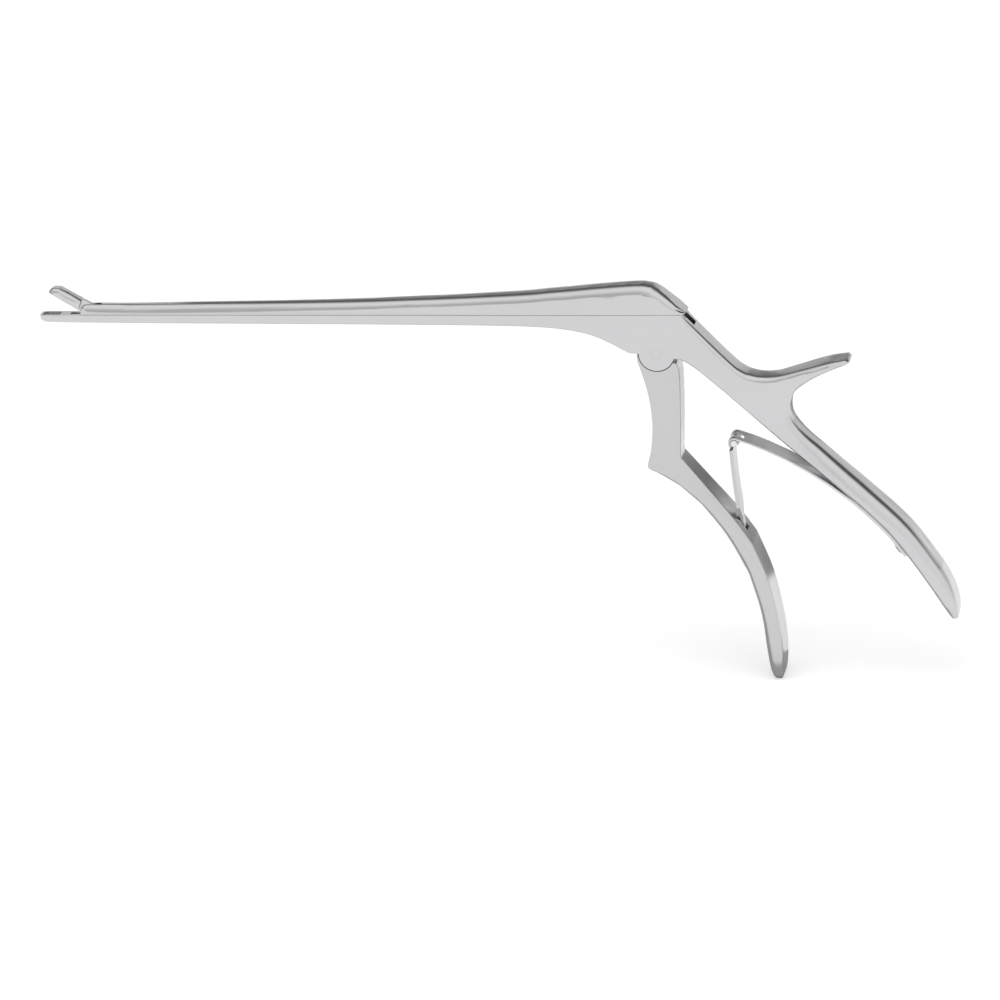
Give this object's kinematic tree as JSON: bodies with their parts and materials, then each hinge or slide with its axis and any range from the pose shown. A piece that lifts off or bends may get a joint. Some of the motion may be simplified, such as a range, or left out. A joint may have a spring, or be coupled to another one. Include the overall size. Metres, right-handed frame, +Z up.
{
  "type": "bone rongeur",
  "caption": "Hand-held bone rongeur: squeezing the sprung front handle pushes the upper shaft forward and tilts the upper jaw down onto the cupped lower jaw.",
  "frame": {"origin": "centre of the bounding box at its lowest level, the tip of the front handle", "axes": "+X along the shaft from the jaws to the handles, +Y across the thin direction, +Z up from the handles to the shaft"},
  "size_m": [0.2516, 0.0124, 0.1119],
  "materials": {
    "forged_steel": "satin",
    "handle_steel": "satin",
    "slide_steel": "satin",
    "jaw_steel": "satin",
    "spring_steel": "satin, slightly darker",
    "strut_steel": "satin",
    "screw_steel": "turned, darker",
    "pin_steel": "ground flush",
    "knuckle_pin_steel": "bright turned"
  },
  "bodies": {
    "frame": {"shaft_and_rear_handle": "forged_steel", "handle_axle": "pin_steel", "jaw_hinge_pin": "pin_steel", "leaf_spring_screw": "screw_steel", "rear_leaf_spring": "spring_steel"},
    "slide": {"sliding_shaft": "slide_steel", "jaw_drive_pin": "pin_steel"},
    "jaw": {"upper_jaw": "jaw_steel"},
    "handle": {"front_handle": "handle_steel"},
    "strut": {"spring_strut": "strut_steel"},
    "leaf_tip": {"spring_hinge_pin": "knuckle_pin_steel"}
  },
  "joints": [
    {"name": "handle_pivot", "type": "hinge", "parent": "frame", "child": "handle", "pos_m": [0.04587, 0, 0.09312], "axis": [0, -1, 0], "range_deg": [0, 6.24], "stiffness_Nm_per_rad": 3, "springref_deg": -8.59},
    {"name": "shaft_slide", "type": "slide", "parent": "frame", "child": "slide", "axis": [-1, 0, 0], "range_m": [0, 0.00137]},
    {"name": "jaw_tilt", "type": "hinge", "parent": "frame", "child": "jaw", "pos_m": [-0.11273, 0, 0.10297], "axis": [0, -1, 0], "range_deg": [0, 31.75]},
    {"name": "leaf_flex", "type": "hinge", "parent": "frame", "child": "leaf_tip", "pos_m": [0.08257, 0, 0.05952], "axis": [0, 1, 0], "range_deg": [0, 7.2], "deforming": ["rear_leaf_spring"]},
    {"name": "strut_swing", "type": "hinge", "parent": "handle", "child": "strut", "pos_m": [0.06752, 0, 0.04172], "axis": [0, -1, 0], "range_deg": [0, 3.8]}
  ],
  "couplings": [
    {"joint": "shaft_slide", "follows": "handle_pivot", "m_per_rad": 0.012512},
    {"joint": "jaw_tilt", "follows": "handle_pivot", "ratio": 5.0798},
    {"joint": "leaf_flex", "follows": "handle_pivot", "ratio": 1.144},
    {"joint": "strut_swing", "follows": "handle_pivot", "ratio": 0.586}
  ]
}
